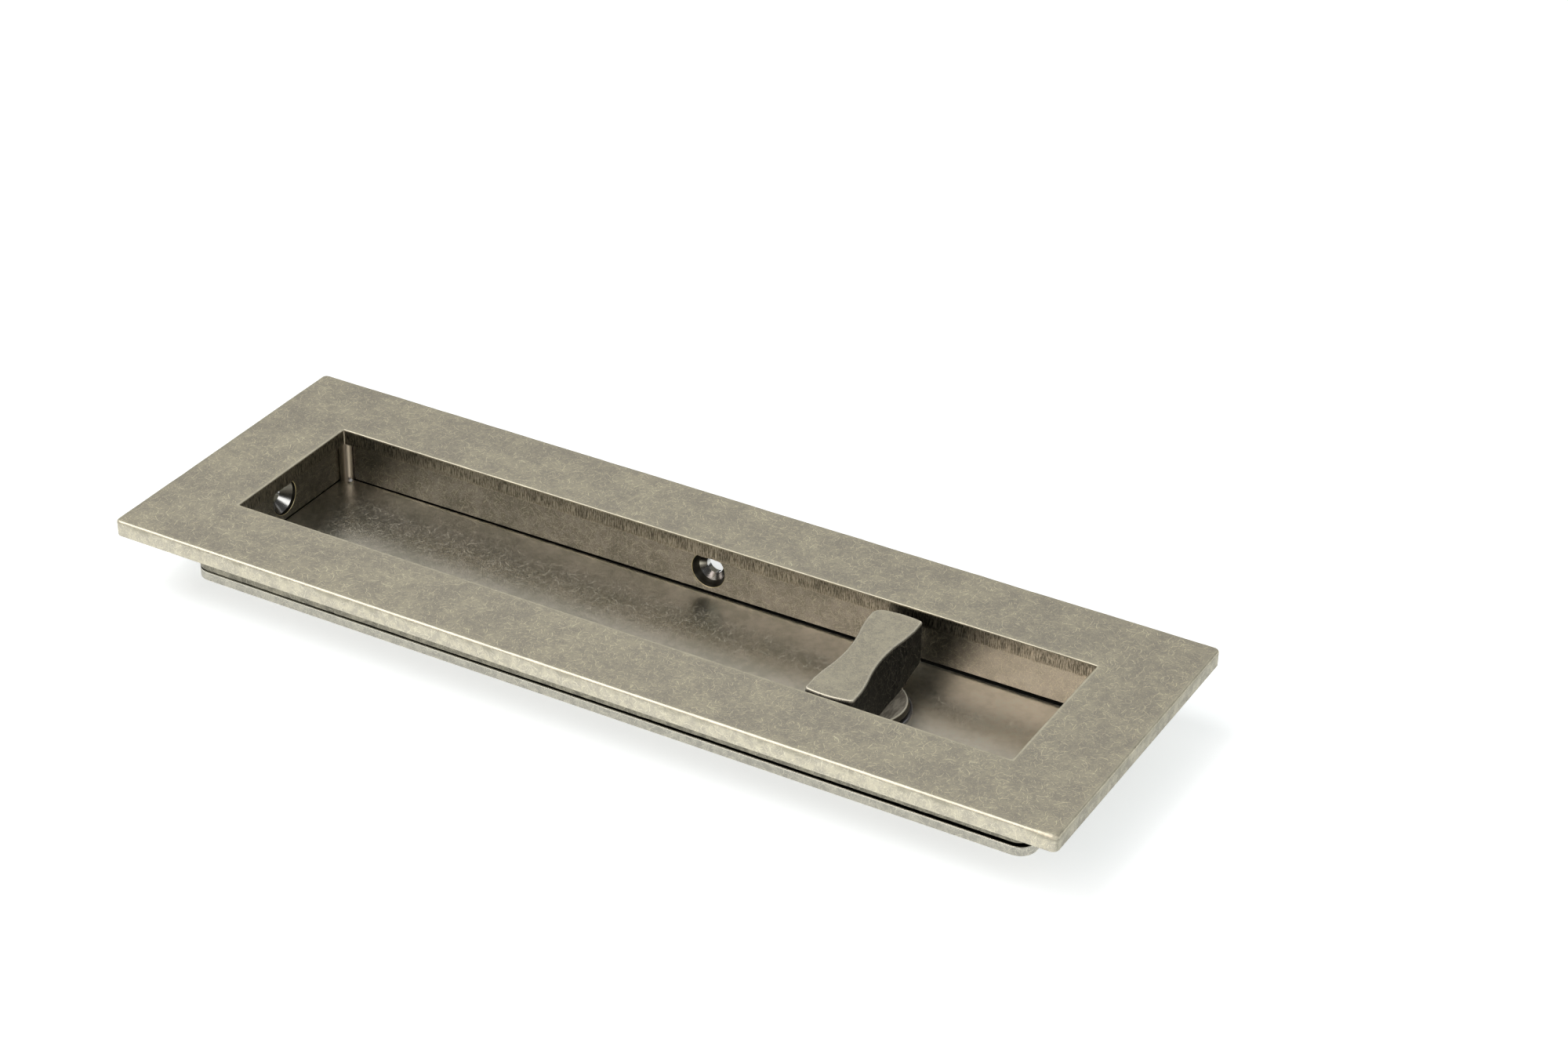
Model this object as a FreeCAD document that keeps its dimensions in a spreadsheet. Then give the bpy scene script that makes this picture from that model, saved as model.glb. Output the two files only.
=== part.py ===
"""Flush door pull with a thumbturn, lying face up on the back of its recess.

Millimetres. The origin is the centre of the base plate's underside, +X runs along the
pull towards the thumbturn, +Z points out of the door.
"""
import FreeCAD, Part
import os
import Sketcher

SIZES = {
    # face plate and its window
    "plate_length": 250.0,
    "plate_width": 85.0,
    "plate_thick": 4.2,
    "plate_corner": 1.5,
    "end_lip": 3.05,
    "side_lip": 3.3,
    "face_round": 0.6,
    "back_round": 0.4,
    "window_round": 0.25,
    # wall ring behind the plate
    "end_overhang": 12.15,
    "side_overhang": 13.0,
    "tub_corner": 4.2,
    "end_wall": 5.9,
    "side_wall": 4.8,
    "recess_depth": 16.2,
    "gap_left": 0.25,
    "gap_right": 0.95,
    # fixing holes through the walls, sunk and countersunk from inside
    "fixing_hole": 4.5,
    "fixing_sink": 9.1,
    "fixing_sink_deep": 1.0,
    "fixing_drop": 9.8,
    # corner pillars and the screws that hold the base plate to them
    "pillar_diameter": 4.2,
    "pillar_inset_x": 6.65,
    "pillar_inset_y": 4.85,
    "relief_diameter": 6.0,
    "spigot_diameter": 3.0,
    "spigot_length": 2.2,
    "base_thick": 2.4,
    "base_round": 0.3,
    "screw_diameter": 2.5,
    "screw_head": 4.6,
    "screw_length": 8.0,
    "screw_socket": 1.5,
    "screw_socket_deep": 1.1,
    "bore_spare": 1.5,
    # bush that carries the thumbturn
    "turn_inset": 69.1,
    "flange_diameter": 22.8,
    "flange_high": 0.95,
    "flange_round": 0.35,
    "barrel_diameter": 18.4,
    "web_thick": 1.5,
    "bush_pocket": 16.0,
    # thumbturn: blade
    "rest_angle": 3.2,
    "lever_drop": 0.95,
    "lever_clear": 2.05,
    "lever_width": 12.2,
    "lever_bow": 24.0,
    "lever_corner": 1.0,
    "lever_worn_corner": 2.6,
    "waist_width": 8.84,
    "grip_clear": 0.05,
    "grip_land": 1.6,
    "grip_draft": 7.3,
    "end_lift": 2.0,
    "heel_round": 0.9,
    "lever_round": 0.4,
    # thumbturn: collar and shank
    "collar_high": 2.9,
    "collar_top": 20.4,
    "collar_diameter": 21.4,
    "collar_slope": 1.0,
    "collar_band": 0.3,
    "collar_foot": 20.2,
    "shank_diameter": 11.0,
    "shank_recess": 0.2,
    "spindle_square": 6.0,
    "spindle_deep": 10.0,
    # retaining ring and dished spring behind the bush's web
    "ring_thick": 0.8,
    "ring_diameter": 13.8,
    "groove_diameter": 10.4,
    "groove_land": 0.25,
    "ring_opening": 3.4,
    "lug_diameter": 2.6,
    "lug_hole": 1.1,
    "spring_thick": 0.25,
    "spring_diameter": 15.2,
    # clearances
    "press_gap": 0.01,
    "run_gap": 0.05,
    "lift_gap": 0.15,
    "screw_gap": 0.2,
}

# sizes that follow from the ones above, as formulas of the sheet
DERIVED = {
    "total_high": "=base_thick + recess_depth",
    "plate_under": "=total_high - plate_thick",
    "wall_high": "=plate_under - base_thick",
    "tub_length": "=plate_length - 2 * end_overhang",
    "tub_width": "=plate_width - 2 * side_overhang",
    "cavity_length": "=tub_length - 2 * end_wall",
    "cavity_width": "=tub_width - 2 * side_wall",
    "window_length": "=cavity_length - 2 * end_lip",
    "window_width": "=cavity_width - 2 * side_lip",
    "fixing_level": "=total_high - fixing_drop",
    "fixing_cone": "=(fixing_sink - fixing_hole) / 2",
    "fixing_neck": "=fixing_sink_deep + fixing_cone",
    "pillar_x": "=tub_length / 2 - pillar_inset_x",
    "pillar_y": "=tub_width / 2 - pillar_inset_y",
    "screw_cone": "=(screw_head - screw_diameter) / 2",
    "pillar_bore": "=screw_length + bore_spare - base_thick",
    "turn_offset": "=plate_length / 2 - turn_inset",
    "flange_top": "=base_thick + flange_high",
    "web_under": "=flange_top - web_thick",
    "collar_under": "=flange_top + lift_gap",
    "ledge": "=base_thick + collar_high",
    "lever_top": "=total_high - lever_drop",
    "lever_high": "=lever_top - ledge",
    "lever_length": "=window_width - 2 * lever_clear",
    "grip_rise": "=((lever_width - waist_width) / 2 + grip_clear) / 2",
    "blade_straight": "=lever_length / 2 - lever_bow + sqrt(lever_bow ^ 2 - lever_width ^ 2 / 4)",
    "grip_half": "=(blade_straight - grip_land) / 2",
    "grip_radius": "=(grip_half ^ 2 + grip_rise ^ 2) / (2 * grip_rise)",
    "ring_under": "=shank_recess + groove_land",
    "ring_top": "=ring_under + ring_thick",
    "lug_x": "=(ring_opening + lug_diameter) / 2",
    "lug_y": "=sqrt(((bush_pocket - lug_diameter) / 2 - screw_gap) ^ 2 - lug_x ^ 2)",
}


class Size:
    """A number together with the formula that gives it from the sheet."""

    def __init__(self, number, text):
        self.number = number
        self.text = text

    @staticmethod
    def of(value):
        return value if isinstance(value, Size) else Size(float(value), repr(value))

    def join(self, other, number, sign):
        return Size(number, f"({self.text} {sign} {other.text})")

    def __add__(self, other):
        other = Size.of(other)
        return self.join(other, self.number + other.number, "+")

    def __sub__(self, other):
        other = Size.of(other)
        return self.join(other, self.number - other.number, "-")

    def __mul__(self, other):
        other = Size.of(other)
        return self.join(other, self.number * other.number, "*")

    def __truediv__(self, other):
        other = Size.of(other)
        return self.join(other, self.number / other.number, "/")

    def __rmul__(self, other):
        return Size.of(other) * self

    def __neg__(self):
        return Size(-self.number, f"(0 - {self.text})")


class Sheet:
    """The document's spreadsheet, with each alias as a Size."""

    def __init__(self, doc):
        self.cells = doc.addObject("Spreadsheet::Sheet", "Sizes")
        names = list(SIZES) + list(DERIVED)
        values = list(SIZES.values()) + list(DERIVED.values())
        for row, (name, value) in enumerate(zip(names, values), start=1):
            self.cells.set(f"A{row}", name)
            self.cells.set(f"B{row}", str(value))
            self.cells.setAlias(f"B{row}", name)
        doc.recompute()

    def __getattr__(self, name):
        return Size(float(self.cells.get(name)), "Sizes." + name)


doc = FreeCAD.newDocument("flush_door_pull")
s = Sheet(doc)
ZERO = Size(0.0, "0")
PAST = 1.0  # how far a cut runs past the metal
CORNERS = [(-1, -1), (1, -1), (1, 1), (-1, 1)]


def new_body(label):
    body = doc.addObject("PartDesign::Body", label)
    body.Label = label
    return body


def place(body, x=None, y=None, z=None):
    """Ties the body's place to the sheet."""
    for letter, value in (("x", x), ("y", y), ("z", z)):
        if value is not None:
            body.setExpression("Placement.Base." + letter, value.text)
    return body


def new_sketch(body, name, role="XY_Plane", lift=None, shift=None):
    """A sketch on one of the body's planes, moved along its normal by lift and up in its plane by shift."""
    sketch = body.newObject("Sketcher::SketchObject", name)
    plane = next(f for f in body.Origin.OriginFeatures if f.Role == role)
    sketch.AttachmentSupport = [(plane, "")]
    sketch.MapMode = "FlatFace"
    if lift is not None:
        sketch.setExpression("AttachmentOffset.Base.z", lift.text)
    if shift is not None:
        sketch.setExpression("AttachmentOffset.Base.y", shift.text)
    return sketch


def bind(sketch, kind, items, value):
    """Adds a constraint with a value and ties the value to the sheet."""
    index = sketch.addConstraint(Sketcher.Constraint(kind, *items, value.number))
    sketch.setExpression(f"Constraints[{index}]", value.text)


def pin_point(sketch, geo, end, x, y):
    """Ties a point's coordinates to the sheet; ZERO puts it on the sketch's axis."""
    for value, kind, axis in ((x, "DistanceX", -2), (y, "DistanceY", -1)):
        if value is ZERO:
            sketch.addConstraint(Sketcher.Constraint("PointOnObject", geo, end, axis))
        else:
            bind(sketch, kind, (-1, 1, geo, end), value)


def vector(corner):
    return FreeCAD.Vector(corner[0].number, corner[1].number, 0)


def arc_between(start, end, radius, side):
    """A short arc that bulges to the right of the way from start to end, or to the left if side is -1."""
    chord = end - start
    half = chord.Length / 2
    sagitta = radius - (radius ** 2 - half ** 2) ** 0.5
    outward = FreeCAD.Vector(chord.y, -chord.x, 0).normalize()
    return Part.Arc(start, start + chord / 2 + outward * (side * sagitta), end)


def add_outline(sketch, corners):
    """A closed outline. A corner is (x, y), or (x, y, radius, side) if an arc leads to the next one."""
    count = len(corners)
    ends = []
    for index, corner in enumerate(corners):
        start = vector(corner)
        end = vector(corners[(index + 1) % count])
        if len(corner) == 2:
            geo = sketch.addGeometry(Part.LineSegment(start, end), False)
            ends.append((geo, 1, 2))
            continue
        geo = sketch.addGeometry(arc_between(start, end, corner[2].number, corner[3]), False)
        first_gap, last_gap = (sketch.getPoint(geo, point).distanceToPoint(start) for point in (1, 2))
        forward = first_gap < last_gap
        ends.append((geo, 1, 2) if forward else (geo, 2, 1))
    for index, (geo, first, last) in enumerate(ends):
        before, _, before_last = ends[index - 1]
        sketch.addConstraint(Sketcher.Constraint("Coincident", before, before_last, geo, first))
        pin_point(sketch, geo, first, corners[index][0], corners[index][1])
    for (geo, _, _), corner in zip(ends, corners):
        if len(corner) == 4:
            bind(sketch, "Radius", (geo,), corner[2])


def add_rectangle(sketch, length, width):
    """A rectangle about the sketch's origin."""
    add_outline(sketch, [(x * (length / 2), y * (width / 2)) for x, y in CORNERS])


def add_circle(sketch, diameter, x=ZERO, y=ZERO):
    circle = Part.Circle(FreeCAD.Vector(x.number, y.number, 0), FreeCAD.Vector(0, 0, 1), diameter.number / 2)
    geo = sketch.addGeometry(circle, False)
    pin_point(sketch, geo, 3, x, y)
    bind(sketch, "Diameter", (geo,), diameter)


def pad(body, sketch, name, length, down=False):
    feature = body.newObject("PartDesign::Pad", name)
    feature.Profile = sketch
    feature.setExpression("Length", length.text)
    feature.Reversed = down
    doc.recompute()


def revolve(body, sketch, name):
    feature = body.newObject("PartDesign::Revolution", name)
    feature.Profile = sketch
    feature.ReferenceAxis = (sketch, ["V_Axis"])
    feature.Angle = 360.0
    doc.recompute()


def finish_cut(body, name, before):
    """Recomputes after a cut and makes sure that it took metal away."""
    doc.recompute()
    if body.Shape.Volume > before - 1e-6:
        raise RuntimeError(name + " cut nothing")


def pocket_up(body, sketch, name, depth, both=False, draft=None, down=False):
    """Cuts from the sketch upwards, or both ways, or down from it."""
    before = body.Shape.Volume
    feature = body.newObject("PartDesign::Pocket", name)
    feature.Profile = sketch
    feature.Midplane = both
    feature.Reversed = not down
    feature.setExpression("Length", depth.text)
    if draft is not None:
        feature.setExpression("TaperAngle", draft.text)
    finish_cut(body, name, before)


def groove(body, sketch, name, axis):
    before = body.Shape.Volume
    feature = body.newObject("PartDesign::Groove", name)
    feature.Profile = sketch
    feature.ReferenceAxis = (sketch, [axis])
    feature.Angle = 360.0
    finish_cut(body, name, before)


def fillet(body, name, radius, chosen):
    """Rounds the edges of the body's tip whose bounding box passes a test."""
    base = body.Tip
    names = [f"Edge{i}" for i, edge in enumerate(base.Shape.Edges, start=1) if chosen(edge.BoundBox)]
    if not names:
        raise RuntimeError(name + " found no edge")
    feature = body.newObject("PartDesign::Fillet", name)
    feature.Base = (base, names)
    feature.setExpression("Radius", radius.text)
    doc.recompute()


def near(value, target, slack=0.01):
    return abs(value - target) < slack


def level_at(box, height):
    return near(box.ZMin, height.number) and near(box.ZMax, height.number)


def upright(box):
    return near(box.XLength, 0) and near(box.YLength, 0) and box.ZLength > 1


def outside(box, half_length, half_width):
    """Whether a box lies wholly beyond one side of a rectangle about the origin."""
    return (box.XMin > half_length or box.XMax < -half_length
            or box.YMin > half_width or box.YMax < -half_width)


def fixing_profile(half, wall):
    """Half section of a countersunk hole through a wall whose inner face is at half."""
    mouth = half - PAST
    mouth_radius = s.fixing_sink / 2
    radius = s.fixing_hole / 2
    outer = half + wall + PAST
    return [(mouth, ZERO), (outer, ZERO), (outer, radius), (half + s.fixing_neck, radius),
            (half + s.fixing_sink_deep, mouth_radius), (mouth, mouth_radius)]


def face_frame():
    """Face plate with its window and the wall ring behind it, milled as one piece."""
    body = new_body("face_frame")
    plate = new_sketch(body, "plate_outline", lift=s.plate_under)
    add_rectangle(plate, s.plate_length, s.plate_width)
    pad(body, plate, "plate", s.plate_thick)
    fillet(body, "plate_corners", s.plate_corner, upright)

    walls = new_sketch(body, "wall_outline", lift=s.plate_under)
    add_rectangle(walls, s.tub_length, s.tub_width)
    pad(body, walls, "walls", s.wall_high, down=True)
    under = s.plate_under.number
    fillet(body, "wall_corners", s.tub_corner, lambda box: upright(box) and near(box.ZMax, under))

    cavity = new_sketch(body, "cavity_outline", lift=s.base_thick)
    add_rectangle(cavity, s.cavity_length, s.cavity_width)
    pocket_up(body, cavity, "cavity", s.wall_high)

    window = new_sketch(body, "window_outline", lift=s.plate_under)
    add_rectangle(window, s.window_length, s.window_width)
    pocket_up(body, window, "window", s.plate_thick)

    reliefs = new_sketch(body, "relief_circles", lift=s.base_thick)
    spigots = new_sketch(body, "spigot_circles", lift=s.plate_under)
    for across, along in CORNERS:
        add_circle(reliefs, s.relief_diameter, across * s.pillar_x, along * s.pillar_y)
        add_circle(spigots, s.spigot_diameter + 2 * s.press_gap, across * s.pillar_x, along * s.pillar_y)
    pocket_up(body, reliefs, "corner_reliefs", s.wall_high)
    pocket_up(body, spigots, "spigot_holes", s.spigot_length)

    lower_edge = new_sketch(body, "wall_lower_edge", role="XZ_Plane")
    beyond = s.tub_length / 2
    add_outline(lower_edge, [(-beyond, s.base_thick - PAST), (beyond, s.base_thick - PAST),
                             (beyond, s.base_thick + s.gap_right), (-beyond, s.base_thick + s.gap_left)])
    pocket_up(body, lower_edge, "wall_taper", s.plate_width, both=True)

    for role, name, half, wall in (("XZ_Plane", "end", s.cavity_length / 2, s.end_wall),
                                   ("YZ_Plane", "side", s.cavity_width / 2, s.side_wall)):
        holes = new_sketch(body, name + "_hole_profiles", role=role, shift=s.fixing_level)
        for sign in (-1, 1):
            add_outline(holes, [(sign * x, y) for x, y in fixing_profile(half, wall)])
        groove(body, holes, name + "_fixing_holes", "H_Axis")

    rim = [side.number / 2 - 2 * s.plate_corner.number for side in (s.plate_length, s.plate_width)]
    fillet(body, "face_edges", s.face_round, lambda box: level_at(box, s.total_high) and outside(box, *rim))
    fillet(body, "back_edges", s.back_round, lambda box: level_at(box, s.plate_under) and outside(box, *rim))
    fillet(body, "window_edges", s.window_round,
           lambda box: level_at(box, s.total_high) and not outside(box, *rim))
    return body


def base_plate():
    """Plate that closes the recess; it seats on the pillars and is screwed to them from the back."""
    body = new_body("base_plate")
    outline = new_sketch(body, "base_outline")
    add_rectangle(outline, s.tub_length, s.tub_width)
    pad(body, outline, "base", s.base_thick)
    fillet(body, "base_corners", s.tub_corner, upright)
    fillet(body, "base_edges", s.base_round, lambda box: level_at(box, s.base_thick))

    bore = new_sketch(body, "bush_bore_circle")
    add_circle(bore, s.barrel_diameter + 2 * s.press_gap, s.turn_offset)
    pocket_up(body, bore, "bush_bore", s.base_thick)

    holes = new_sketch(body, "screw_circles")
    sinks = new_sketch(body, "sink_circles")
    for across, along in CORNERS:
        add_circle(holes, s.screw_diameter + 2 * s.screw_gap, across * s.pillar_x, along * s.pillar_y)
        add_circle(sinks, s.screw_head + 2 * s.screw_gap, across * s.pillar_x, along * s.pillar_y)
    pocket_up(body, holes, "screw_holes", s.base_thick)
    pocket_up(body, sinks, "screw_sinks", s.screw_cone, draft=Size(-45.0, "-45"))
    return body


def pillar(label, across, along):
    """Round pillar from the base plate to the face plate, with a threaded bore and a spigot."""
    body = new_body(label)
    profile = new_sketch(body, label + "_profile", role="XZ_Plane")
    bore = s.screw_diameter / 2 + s.press_gap
    tip = s.wall_high + s.spigot_length - s.screw_gap
    add_outline(profile, [(bore, ZERO), (s.pillar_diameter / 2, ZERO), (s.pillar_diameter / 2, s.wall_high),
                          (s.spigot_diameter / 2, s.wall_high), (s.spigot_diameter / 2, tip), (ZERO, tip),
                          (ZERO, s.pillar_bore), (bore, s.pillar_bore)])
    revolve(body, profile, label + "_turned")
    return place(body, across * s.pillar_x, along * s.pillar_y, s.base_thick)


def base_screw(label, across, along):
    """Countersunk socket screw, its head sunk in the base plate's underside."""
    body = new_body(label)
    profile = new_sketch(body, label + "_profile", role="XZ_Plane")
    neck = s.screw_gap + s.screw_cone
    add_outline(profile, [(ZERO, s.screw_gap), (s.screw_head / 2, s.screw_gap), (s.screw_diameter / 2, neck),
                          (s.screw_diameter / 2, s.screw_length), (ZERO, s.screw_length)])
    revolve(body, profile, label + "_turned")
    socket = new_sketch(body, label + "_socket", lift=s.screw_gap)
    add_rectangle(socket, s.screw_socket, s.screw_socket)
    pocket_up(body, socket, label + "_recess", s.screw_socket_deep)
    return place(body, across * s.pillar_x, along * s.pillar_y)


def turn_bush():
    """Flanged bush pressed into the base plate; its web carries the thumbturn's shank."""
    body = new_body("turn_bush")
    profile = new_sketch(body, "bush_profile", role="XZ_Plane")
    bore = s.shank_diameter / 2 + s.run_gap
    add_outline(profile, [(bore, s.web_under), (s.bush_pocket / 2, s.web_under),
                          (s.bush_pocket / 2, s.press_gap), (s.barrel_diameter / 2, s.press_gap),
                          (s.barrel_diameter / 2, s.base_thick),
                          (s.flange_diameter / 2, s.base_thick), (s.flange_diameter / 2, s.flange_top),
                          (bore, s.flange_top)])
    revolve(body, profile, "bush_turned")
    rim = s.flange_diameter.number / 2
    fillet(body, "flange_edge", s.flange_round,
           lambda box: level_at(box, s.flange_top) and near(box.XMax, rim))
    return place(body, s.turn_offset)


def grip_outline(side):
    """What is milled off one flank of the blade: a waist between two shoulders, seen from the front."""
    waist = s.waist_width / 2
    shoulder = s.lever_width / 2 + s.grip_clear
    middle = waist + s.grip_rise
    far = shoulder + s.lever_width / 2
    tip = s.lever_length / 2 + s.lever_width / 2
    reach = 2 * s.grip_half
    points = [(shoulder, -reach, s.grip_radius, 1), (middle, -s.grip_half, s.grip_radius, -1),
              (middle, s.grip_half, s.grip_radius, 1), (shoulder, reach), (shoulder, tip), (far, tip),
              (far, -tip), (shoulder, -tip)]
    return [(side * x, side * y, *arc) for x, y, *arc in points]


def thumbturn():
    """Lever, collar and shank in one casting, with a square hole for the lock's spindle."""
    body = new_body("thumbturn")
    profile = new_sketch(body, "turn_profile", role="XZ_Plane")
    shank = s.shank_diameter / 2
    neck = s.groove_diameter / 2
    groove_top = s.ring_top + 2 * s.press_gap
    band_top = s.ledge - s.collar_slope
    band_low = band_top - s.collar_band
    add_outline(profile, [(ZERO, s.shank_recess), (shank, s.shank_recess), (shank, s.ring_under),
                          (neck, s.ring_under), (neck, groove_top), (shank, groove_top), (shank, s.collar_under),
                          (s.collar_foot / 2, s.collar_under), (s.collar_diameter / 2, band_low),
                          (s.collar_diameter / 2, band_top), (s.collar_top / 2, s.ledge), (ZERO, s.ledge)])
    revolve(body, profile, "turned_part")

    blade = new_sketch(body, "blade_outline", lift=s.ledge)
    half_width = s.lever_width / 2
    corner = s.blade_straight
    add_outline(blade, [(half_width, -corner), (half_width, corner, s.lever_bow, 1),
                        (-half_width, corner), (-half_width, -corner, s.lever_bow, 1)])
    pad(body, blade, "blade", s.lever_high)
    fillet(body, "worn_corner", s.lever_worn_corner, lambda box: upright(box) and box.XMax < 0 < box.YMin)
    fillet(body, "blade_corners", s.lever_corner,
           lambda box: upright(box) and near(box.ZMax, s.lever_top.number)
           and near(abs(box.XMax), half_width.number) and near(abs(box.YMax), corner.number))

    grips = new_sketch(body, "grip_outlines", lift=s.lever_top)
    for side in (-1, 1):
        add_outline(grips, grip_outline(side))
    pocket_up(body, grips, "grips", s.lever_high, draft=-s.grip_draft, down=True)

    heels = new_sketch(body, "heel_outlines", role="YZ_Plane")
    heel = s.collar_top / 2
    tip = s.lever_length / 2 + PAST
    for side in (-1, 1):
        add_outline(heels, [(side * heel, s.ledge, s.heel_round, -side),
                            (side * (heel + s.heel_round), s.ledge + s.heel_round),
                            (side * tip, s.ledge + s.end_lift), (side * tip, s.ledge)])
    pocket_up(body, heels, "heels", s.lever_width * 2, both=True)

    socket = new_sketch(body, "spindle_outline", lift=s.shank_recess)
    add_rectangle(socket, s.spindle_square, s.spindle_square)
    pocket_up(body, socket, "spindle_socket", s.spindle_deep)
    fillet(body, "blade_edges", s.lever_round, lambda box: level_at(box, s.lever_top))
    body.setExpression("Placement.Rotation.Angle", s.rest_angle.text)
    return place(body, s.turn_offset)


def dished_spring():
    """Dished washer between the retaining ring and the bush's web, which gives the turn its friction."""
    body = new_body("dished_spring")
    profile = new_sketch(body, "spring_profile", role="XZ_Plane")
    inner = s.shank_diameter / 2 + s.run_gap
    outer = s.spring_diameter / 2
    low = s.ring_top + 2 * s.press_gap
    high = s.web_under - s.press_gap
    add_outline(profile, [(inner, low), (outer, high - s.spring_thick), (outer, high),
                          (inner, low + s.spring_thick)])
    revolve(body, profile, "spring_pressed")
    return place(body, s.turn_offset)


def retaining_ring():
    """Open ring with two lugs, sprung into the groove near the shank's end."""
    body = new_body("retaining_ring")
    under = s.ring_under + s.press_gap
    disc = new_sketch(body, "ring_circle", lift=under)
    add_circle(disc, s.ring_diameter)
    pad(body, disc, "disc", s.ring_thick)

    bore = new_sketch(body, "bore_circle", lift=under)
    add_circle(bore, s.groove_diameter + 2 * s.press_gap)
    lugs = new_sketch(body, "lug_circles", lift=under)
    holes = new_sketch(body, "lug_hole_circles", lift=under)
    for side in (-1, 1):
        add_circle(lugs, s.lug_diameter, side * s.lug_x, s.lug_y)
        add_circle(holes, s.lug_hole, side * s.lug_x, s.lug_y)
    pad(body, lugs, "lugs", s.ring_thick)
    pocket_up(body, bore, "bore", s.ring_thick)
    pocket_up(body, holes, "lug_holes", s.ring_thick)

    opening = new_sketch(body, "opening_outline", lift=under)
    half = s.ring_opening / 2
    add_outline(opening, [(-half, ZERO), (half, ZERO), (half, s.bush_pocket / 2), (-half, s.bush_pocket / 2)])
    pocket_up(body, opening, "opening", s.ring_thick)
    return place(body, s.turn_offset)


def check(parts):
    """Stops if a feature failed or a piece is not one valid solid."""
    for item in doc.Objects:
        if "Invalid" in item.State or "Error" in item.State:
            raise RuntimeError(f"{item.Label} failed: {item.State}")
    for body in parts:
        shape = body.Shape
        if shape.isNull() or not shape.isValid() or len(shape.Solids) != 1:
            raise RuntimeError(body.Label + " is not one valid solid")


def build():
    parts = [face_frame(), base_plate(), turn_bush(), thumbturn(), dished_spring(), retaining_ring()]
    for along, back in ((-1, "front"), (1, "back")):
        for across, side in ((-1, "left"), (1, "right")):
            parts.append(pillar(f"pillar_{back}_{side}", across, along))
            parts.append(base_screw(f"base_screw_{back}_{side}", across, along))
    doc.recompute()
    check(parts)
    os.makedirs("parts", exist_ok=True)
    for body in parts:
        body.Shape.exportStep(f"parts/{body.Label}.step")
        box = body.Shape.BoundBox
        print(f"{body.Label}: {body.Shape.Volume:.1f} mm3, x {box.XMin:.2f} to {box.XMax:.2f}, "
              f"y {box.YMin:.2f} to {box.YMax:.2f}, z {box.ZMin:.2f} to {box.ZMax:.2f}")


build()
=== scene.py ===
"""Looks of the flush door pull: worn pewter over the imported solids.

Blender's own unit is the metre; the sizes below are in millimetres and MM turns them into metres.
"""
import bmesh
import bpy
import math
from mathutils import Matrix, Vector, noise


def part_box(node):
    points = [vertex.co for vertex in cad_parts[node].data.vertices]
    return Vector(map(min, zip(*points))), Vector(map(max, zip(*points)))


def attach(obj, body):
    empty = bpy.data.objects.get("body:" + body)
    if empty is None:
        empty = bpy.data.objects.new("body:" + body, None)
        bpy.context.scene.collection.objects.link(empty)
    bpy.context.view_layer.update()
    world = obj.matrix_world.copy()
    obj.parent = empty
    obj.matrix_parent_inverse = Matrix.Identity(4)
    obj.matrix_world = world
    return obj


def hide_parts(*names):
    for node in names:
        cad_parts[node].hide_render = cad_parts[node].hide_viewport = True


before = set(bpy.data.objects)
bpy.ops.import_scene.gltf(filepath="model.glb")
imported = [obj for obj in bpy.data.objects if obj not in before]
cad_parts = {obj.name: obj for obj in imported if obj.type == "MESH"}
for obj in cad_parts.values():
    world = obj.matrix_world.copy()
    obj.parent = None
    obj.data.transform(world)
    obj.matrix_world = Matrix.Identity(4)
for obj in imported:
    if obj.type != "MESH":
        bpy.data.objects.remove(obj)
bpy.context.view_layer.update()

MM = 0.001


def mm_box(node):
    """Lowest and highest corner of a solid in millimetres."""
    low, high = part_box(node)
    return [v / MM for v in low], [v / MM for v in high]


# sizes read from the solids
FRAME_LOW, FRAME_HIGH = mm_box("face_frame")
_, BASE_HIGH = mm_box("base_plate")
_, TURN_HIGH = mm_box("thumbturn")
BUSH_LOW, BUSH_HIGH = mm_box("turn_bush")
PILLAR_LOW, PILLAR_HIGH = mm_box("pillar_back_right")
PLATE_X = FRAME_HIGH[0]
PLATE_Y = FRAME_HIGH[1]
TOP = FRAME_HIGH[2]
TUB_X = BASE_HIGH[0]
TUB_Y = BASE_HIGH[1]
FLOOR = BASE_HIGH[2]
GAP_LEFT = FRAME_LOW[2] - FLOOR
PILLAR_X = (PILLAR_LOW[0] + PILLAR_HIGH[0]) / 2
PILLAR_Y = (PILLAR_LOW[1] + PILLAR_HIGH[1]) / 2
LEVER_X = (BUSH_LOW[0] + BUSH_HIGH[0]) / 2

# height of the ledge on the lever's collar and radius of the collar's rim
COLLAR_LEDGE = FLOOR + 2.9
COLLAR_RIM = 10.1

# sizes of the face frame that no box gives
PLATE_THICK = 4.2
UNDER = TOP - PLATE_THICK
PLATE_CORNER = 1.5
TUB_CORNER = 4.2
WINDOW_X = 103.9
WINDOW_Y = 21.4
WINDOW_CORNER = 0.35
CAVITY_X = 106.95
CAVITY_Y = 24.7
CAVITY_CORNER = 0.5
GAP_RIGHT = 0.95
RELIEF_RADIUS = 2.3
HOLE_LEVEL = TOP - 9.8
HOLE_RADIUS = 2.25
SINK_RADIUS = 4.55
SINK_DEEP = 1.0
MOUTH_WEAR = 0.11
HOLE_REACH = 9.0

# points round the cutters of the holes and of the reliefs
HOLE_STEPS = 64
RELIEF_STEPS = 48

# how far the hair scratches bend within their cell
HAIR_BEND = 2.4


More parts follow.
